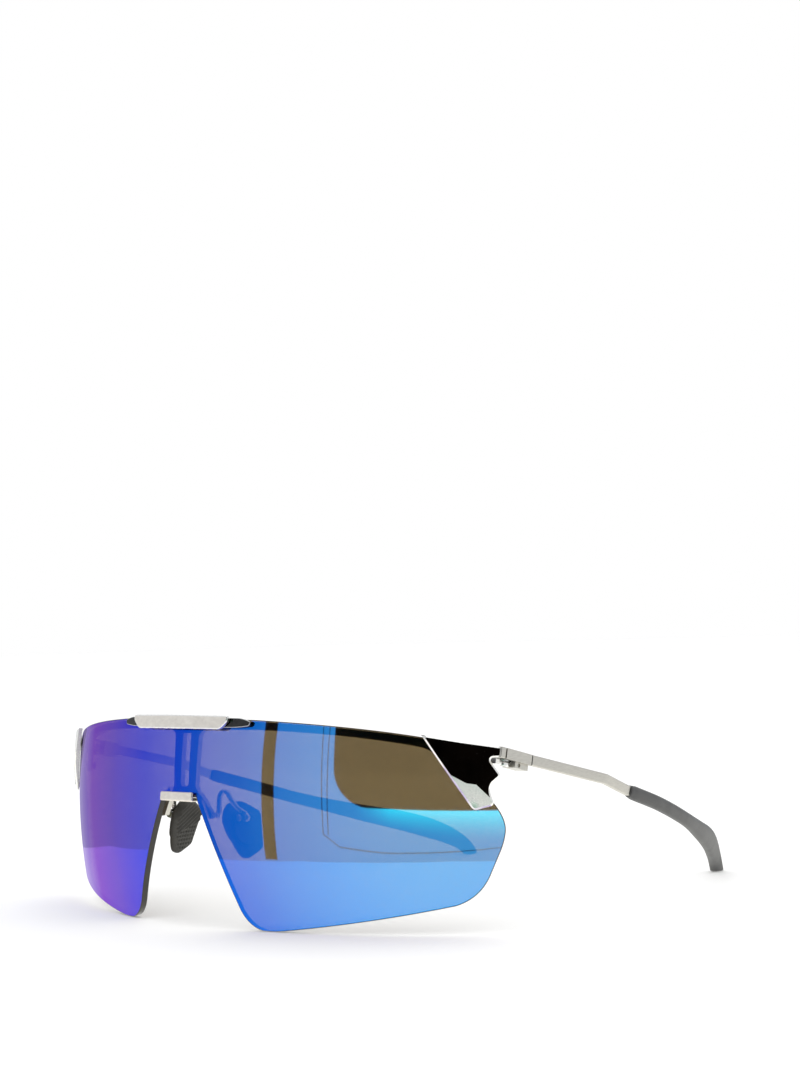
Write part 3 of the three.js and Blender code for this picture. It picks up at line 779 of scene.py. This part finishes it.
def quarter_round(t, length):
    """Rises from 0 to 1 as t goes from 0 to length, like a quarter of a circle."""
    return math.sqrt(max(0, 1 - (1 - min(t / length, 1)) ** 2))


def temple(side, sign):
    """The metal band of one temple, and the rubber sleeve over its rear."""
    place = hinge_place(sign)
    line = temple_line()
    bm = bmesh.new()
    band = even([p for p in line if p.y <= SLEEVE_START + BAND_OVERLAP], 90)
    sweep(bm, band, lambda t: rounded_rectangle(BAND_WIDTH, BAND_HEIGHT, BAND_CORNER), place)
    turn_outward(bm)
    strip = weighted(mesh_object(f"temple_band_{side}", bm, [BAND]))
    finished(strip, f"{side}_temple", "satin_steel", f"temple_strip_{side}")

    def section(t):
        """A slim front end with a lip, a swelling towards the rear, and a blunt tip."""
        nose = smoothstep(t, 0, 0.03)
        swell = smoothstep(t, 0.34, 0.78)
        taper = smoothstep(t, 0.8, 1)
        lip = 0.78 + 0.22 * quarter_round(t, 0.006)
        end = 0.7 + 0.3 * quarter_round(1 - t, 0.012)
        k = min(lip, end)
        width = 2.1 + 0.4 * nose + 0.3 * swell
        height = 2.6 + 0.5 * nose + 2.3 * swell - 1.7 * taper
        return ellipse(width * k, height * k, power=0.82)

    bm = bmesh.new()
    rear = even([p for p in line if p.y >= SLEEVE_START], 260)
    sweep(bm, rear, section, place, floor=True)
    turn_outward(bm)
    sleeve = weighted(mesh_object(f"earpiece_{side}", bm, [SLEEVE_RUBBER]))
    finished(sleeve, f"{side}_temple", "sleeve_rubber", f"temple_sleeve_{side}")


# ---------------------------------------------------------------- nose pads

PAD_CENTRE = Vector((9.6, 9.3 - FRONT_TO_CENTRE, 19.95))
PAD_YAW = math.radians(-11.5)
PAD_SPLAY = math.radians(-18.5)
PAD_BACK = 0.8
PAD_THICKNESS = 2.0
PAD_RIM = 0.8  # the pad's thickness at its rim
PAD_ROUND = 0.35  # the radius of its back edge
CROWN_ROUND = 1.0  # how far in from the rim its face reaches full height
GRIP_ROOM = 0.2  # the height kept free for the ribs
PAD_STEP = 0.13
PAD_PIVOT = Vector((2.85, -0.5, 2))
GRIP_DEPTH = 0.3
RIB_PITCH = 1.15
DIMPLE_PITCH = 0.92


def pad_place(sign):
    """From the pad's frame (x out of its back, y back, z up) to the row frame."""
    turn = Matrix.Rotation(PAD_YAW, 4, "Z") @ Matrix.Rotation(PAD_SPLAY, 4, "Y")
    return mirror_matrix(sign) @ Matrix.Translation(PAD_CENTRE) @ turn


def pad_outline():
    return path(
        (-2.4, 6.1), ((0.2, 6.7), (2.2, 5.4)), (4.2, 4.1), ((4.9, 3.6), (4.8, 2.6)), (3.9, -3.6),
        ((3.8, -4.4), (2.9, -4.9)), (0.4, -6.1), ((-0.9, -6.5), (-1.7, -5.6)),
        ((-2.7, -4.3), (-3.2, -2.4)), ((-4.6, -0.4), (-4.6, 2.4)), ((-4.2, 5.2), (-2.4, 6.1)),
        fine=12,
    )[:-1]


def grip(y, z):
    """Height of the pad's moulded grip: slanting ribs above, a net of dimples below."""
    rib = 0.5 + 0.5 * math.cos(2 * math.pi * (z - 0.7 * y) / RIB_PITCH)
    net = math.cos(math.pi * (z + y) / DIMPLE_PITCH) * math.cos(math.pi * (z - y) / DIMPLE_PITCH)
    above = smoothstep(z - 0.3 * y, -0.4, 0.1)
    return GRIP_DEPTH * (above * rib**1.3 - (1 - above) * max(net, 0) ** 0.8)


def nose_pad(side, sign):
    """One rubber pad, its grip moulded into the face that rests on the nose."""
    outline = pad_outline()
    verts, faces, _ = sheet_triangles(outline, PAD_STEP)
    place = pad_place(sign)
    bm = bmesh.new()
    inner, outer = [], []
    for v in verts:
        rim = to_edge(v, outline)
        swell = quarter_round(rim, CROWN_ROUND)
        crown = PAD_RIM + (PAD_THICKNESS - PAD_RIM - GRIP_ROOM) * swell
        face = PAD_BACK - crown - grip(v.x, v.y) * smoothstep(rim, PAD_ROUND, PAD_RIM)
        back = PAD_BACK - PAD_ROUND + PAD_ROUND * quarter_round(rim, PAD_ROUND)
        inner.append(bm.verts.new((place @ Vector((face, v.x, v.y))) * MM))
        outer.append(bm.verts.new((place @ Vector((back, v.x, v.y))) * MM))
    uses = set()
    for f in faces:
        bm.faces.new([inner[i] for i in f])
        bm.faces.new([outer[i] for i in reversed(f)])
        uses.update(zip(f, f[1:] + f[:1]))
    for i, j in sorted(uses):
        if (j, i) not in uses:
            bm.faces.new([inner[j], inner[i], outer[i], outer[j]])
    turn_outward(bm)
    pad = weighted(mesh_object(f"grip_pad_{side}", bm, [PAD_RUBBER]))
    finished(pad, f"{side}_nose_pad", "pad_rubber", f"nose_pad_{side}")


WIRE_THICKNESS = 1.1
WIRE_FOOT = 0.35  # how much thicker the wire is where it's soldered on


def nose_arm(side, sign):
    """The bent wire from the frame's foot to the pad, with the eye that its screw goes through."""
    place = pad_place(1)
    lead = Vector((0, FRONT_TO_CENTRE, 0))
    eye_top = place @ PAD_PIVOT + lead + Vector((0, 0, 0.8))
    points = [
        (7.9, 2.95, 23.4), (8.1, 3.6, 23.9), (8.3, 3.75, 25.4), (8.3, 3.9, 27.2), (8.5, 4.6, 28.4),
        (8.9, 5.5, 28.1), (9.4, 6.2, 26.6), (10.3, 7.3, 24.7), tuple(eye_top),
    ]
    bm = bmesh.new()
    shift = mirror_matrix(sign) @ Matrix.Translation(-lead)

    def wire(t):
        thickness = WIRE_THICKNESS + WIRE_FOOT * (1 - smoothstep(t, 0, 0.08))
        return ellipse(thickness, thickness, 16)

    sweep(bm, catmull(points, 90), wire, shift)
    ring_place = mirror_matrix(sign) @ place @ Matrix.Translation(PAD_PIVOT)
    outer, hole, half, corner = 1.05, 0.7, 0.4, 0.12
    profile = [
        (hole, -half), (outer - corner, -half), (outer, -half + corner), (outer, half - corner),
        (outer - corner, half), (hole, half),
    ]
    turns = 28
    grid = []
    for k in range(turns):
        a = 2 * math.pi * k / turns
        spots = [ring_place @ Vector((r * math.cos(a), y, r * math.sin(a))) for r, y in profile]
        grid.append([bm.verts.new(spot * MM) for spot in spots])
    for k in range(turns):
        one, two = grid[k], grid[(k + 1) % turns]
        for j in range(len(profile)):
            m = (j + 1) % len(profile)
            bm.faces.new([one[j], one[m], two[m], two[j]])
    turn_outward(bm)
    arm = weighted(mesh_object(f"pad_wire_{side}", bm, [BRIGHT]))
    finished(arm, "front", "satin_steel", f"nose_arm_{side}")


# ---------------------------------------------------------------- assembly

lens()
brow_plate()
brow_clip()
show_cad("brow_frame", BAND, 0.12)
show_cad("bridge_clip", SATIN, 0.3)
for side, sign in SIDES:
    end_plate(side, sign)
    temple(side, sign)
    nose_pad(side, sign)
    nose_arm(side, sign)
    show_cad(f"spring_housing_{side}", BAND, 0.12)
    show_cad(f"nose_pad_core_{side}", CORE_PLASTIC, 0.1)
    show_cad(f"hinge_spring_{side}", SPRING, 0.02)
    show_cad(f"hinge_block_{side}", BRIGHT, 0.05)
    for node in ("brow_screw", "end_screw_upper", "end_screw_lower", "hinge_screw", "hinge_plunger",
                 "nose_pad_screw"):
        show_cad(f"{node}_{side}", HARDWARE, 0.05)


# ---------------------------------------------------------------- stage, light and camera


def reflected_only(mesh):
    """Puts a sheet in the scene that nothing but reflections can see."""
    sheet = bpy.data.objects.new(mesh.name, mesh)
    bpy.context.scene.collection.objects.link(sheet)
    sheet.visible_camera = False
    sheet.visible_diffuse = False
    sheet.visible_shadow = False
    sheet.visible_transmission = False


def card(name, corners, colour, strength, cloudy=False):
    """A glowing or dark sheet that only reflections see."""
    mesh = bpy.data.meshes.new(name)
    mesh.from_pydata(corners, [], [list(range(len(corners)))])
    m = Shader(name)
    shade = m.colours(m.noise(0.004, 2), (0, 0, 0), colour) if cloudy else (*colour, 1)
    glow = m.add("ShaderNodeEmission", {"Color": shade, "Strength": strength})
    mesh.materials.append(m.surface(glow.outputs["Emission"]))
    reflected_only(mesh)


def on_wall(outline, forward):
    """Corners given as (x, z), in metres, upright in the plane of the wall cards."""
    return [(x, WALL_Y + forward, z) for x, z in outline]


def corner_arc(cx, cz, rx, rz, steps=10):
    """A quarter of an ellipse, from its left end down to its bottom."""
    return [
        (cx - rx * math.cos(math.pi / 2 * i / steps), cz - rz * math.sin(math.pi / 2 * i / steps))
        for i in range(steps + 1)
    ]


WINDOW_OUTLINE = (
    [(0.066, 1.6), (0.074, 0.25)] + corner_arc(0.26, 0.12, 0.182, 0.132)
    + [(1.02, -0.053), (2.1, -0.11), (2.1, 1.6)]
)
POST_OUTLINE = [(-0.285, 0.9), (-0.26, -0.168), (-0.197, -0.168), (-0.21, 0.9)]
LINE_WIDTH, LINE_TOP, LINE_FOOT = 0.004, 0.6, -0.09
LINE_SPANS = (("frame_line_a", 0.010, 0.028), ("frame_line_b", 0.046, 0.050))  # x at top and foot
SILL_TOP = [(0.03, -0.085), (0.10, -0.128), (0.30, -0.160), (1.10, -0.245)]
TABLE_OUTLINE = [
    (-0.40, 0.30), (-0.165, 0.066), (-0.137, -0.073), (-0.097, -0.114), (-0.040, -0.130),
    (-0.009, -0.133), (0.022, -0.133), (0.049, -0.125), (0.073, -0.114), (0.095, -0.100),
    (0.112, -0.082), (0.20, 0.02), (0.3, 0.30),
]
GLOW_START, GLOW_FULL, GLOW_LENGTH = 0.17, 0.36, 1.9  # along x


def glow_foot(x):
    """The height at which the glow begins, along the foot of the dark window."""
    return -0.004 - 0.053 * min((x - GLOW_START) / 0.85, 1) - 0.05 * max(x - 1.02, 0)


def glow_card():
    """Light that fades downward from the foot of the dark window."""
    columns, rows = 24, 10
    outline, fades, quads = [], [], []
    for i in range(columns + 1):
        x = GLOW_START + GLOW_LENGTH * i / columns
        depth = 0.05 + 0.13 * (x - GLOW_START)
        for j in range(rows + 1):
            outline.append((x, glow_foot(x) - depth * j / rows))
            fades.append((1 - j / rows) ** 1.5 * smoothstep(x, GLOW_START, GLOW_FULL))
            if i < columns and j < rows:
                k = i * (rows + 1) + j
                quads.append((k, k + 1, k + rows + 2, k + rows + 1))
    mesh = bpy.data.meshes.new("window_glow")
    mesh.from_pydata(on_wall(outline, 0.001), [], quads)
    mesh.attributes.new("fade", "FLOAT", "POINT").data.foreach_set("value", fades)
    m = Shader("window_glow")
    fade = m.add("ShaderNodeAttribute", attribute_name="fade").outputs["Fac"]
    light = m.add("ShaderNodeEmission", {"Color": (0.30, 1.0, 0.62, 1), "Strength": 2.2})
    mesh.materials.append(m.surface(m.mix(fade, m.clear((1, 1, 1)), light.outputs["Emission"])))
    reflected_only(mesh)


def stage():
    """A pale floor, and the room that the lens mirrors."""
    mesh = bpy.data.meshes.new("floor")
    half = 6.0
    corners = [(-half, -half, 0), (half, -half, 0), (half, half, 0), (-half, half, 0)]
    mesh.from_pydata(corners, [], [(0, 1, 2, 3)])
    floor = bpy.data.objects.new("floor", mesh)
    bpy.context.scene.collection.objects.link(floor)
    m = Shader("floor")
    shade = m.colours(m.noise(0.02, 2), (0.965, 0.965, 0.965), (0.98, 0.98, 0.98))
    paper = m.add("ShaderNodeBsdfPrincipled", {"Base Color": shade, "Roughness": 0.9})
    mesh.materials.append(m.surface(paper.outputs["BSDF"]))
    floor.visible_glossy = False
    floor.location.z = -0.0002  # just under the feet

    card("dark_window", on_wall(WINDOW_OUTLINE, 0), (0.006, 0.004, 0.003), 1.0, cloudy=True)
    for name, top, foot in LINE_SPANS:
        left = [(top, LINE_TOP), (foot, LINE_FOOT)]
        right = [(x + LINE_WIDTH, z) for x, z in reversed(left)]
        card(name, on_wall(left + right, -0.002), (0.08, 0.10, 0.12), 1.0)
    sill = SILL_TOP + [(x, z - LINE_WIDTH) for x, z in reversed(SILL_TOP)]
    card("frame_line_c", on_wall(sill, -0.003), (0.12, 0.15, 0.17), 1.0)
    card("dark_post", on_wall(POST_OUTLINE, -0.001), (0.02, 0.02, 0.02), 0.2)
    card("bright_table", [(x, y, -0.0001) for x, y in TABLE_OUTLINE], (1.0, 1.0, 0.96), TABLE_LIGHT)
    glow_card()


def lights():
    """One soft lamp, and a world of even light.

    Reflections see the world as a grey room, and the camera sees it as white paper.
    """
    world = bpy.data.worlds.new("studio")
    bpy.context.scene.world = world
    world.use_nodes = True
    tree = world.node_tree
    tree.nodes.clear()
    out = tree.nodes.new("ShaderNodeOutputWorld")
    rays = tree.nodes.new("ShaderNodeLightPath")

    def background(colour, strength):
        shade = tree.nodes.new("ShaderNodeBackground")
        shade.inputs["Color"].default_value = (*colour, 1)
        shade.inputs["Strength"].default_value = strength
        return shade.outputs["Background"]

    latest = background((1, 1, 1), FILL_LIGHT)
    room = background((0.86, 0.88, 0.90), ROOM_LIGHT)
    paper = background((1, 1, 1), 1.0)
    for ray, shade in (("Is Glossy Ray", room), ("Is Camera Ray", paper)):
        mix = tree.nodes.new("ShaderNodeMixShader")
        tree.links.new(rays.outputs[ray], mix.inputs["Fac"])
        tree.links.new(latest, mix.inputs[1])
        tree.links.new(shade, mix.inputs[2])
        latest = mix.outputs["Shader"]
    tree.links.new(latest, out.inputs["Surface"])

    lamp = bpy.data.lights.new("soft_box", "AREA")
    lamp.size = LAMP_SIZE
    lamp.energy = LAMP_POWER
    box = bpy.data.objects.new("soft_box", lamp)
    bpy.context.scene.collection.objects.link(box)
    box.location = LAMP_AT
    box.rotation_euler = (-Vector(LAMP_AT)).to_track_quat("-Z", "Y").to_euler()


def camera():
    """The photograph's camera, found together with the shape of the glasses."""
    azimuth, elevation, roll = map(math.radians, (CAMERA_AZIMUTH, CAMERA_ELEVATION, CAMERA_ROLL))
    level = math.cos(elevation)
    back = Vector((math.sin(azimuth) * level, -math.cos(azimuth) * level, math.sin(elevation)))
    right = Vector((math.cos(azimuth), math.sin(azimuth), 0))
    up = back.cross(right)
    across = right * math.cos(roll) + up * math.sin(roll)
    above = up * math.cos(roll) - right * math.sin(roll)
    data = bpy.data.cameras.new("camera")
    data.lens = FOCAL_LENGTH
    data.sensor_width = SENSOR_WIDTH
    data.clip_start = 0.01
    view = bpy.data.objects.new("camera", data)
    bpy.context.scene.collection.objects.link(view)
    turn = Matrix((across, above, back)).transposed().to_4x4()
    view.matrix_world = Matrix.Translation(CAMERA_AT) @ turn
    bpy.context.scene.camera = view


stage()
lights()
camera()
bpy.context.scene.view_settings.view_transform = "Standard"
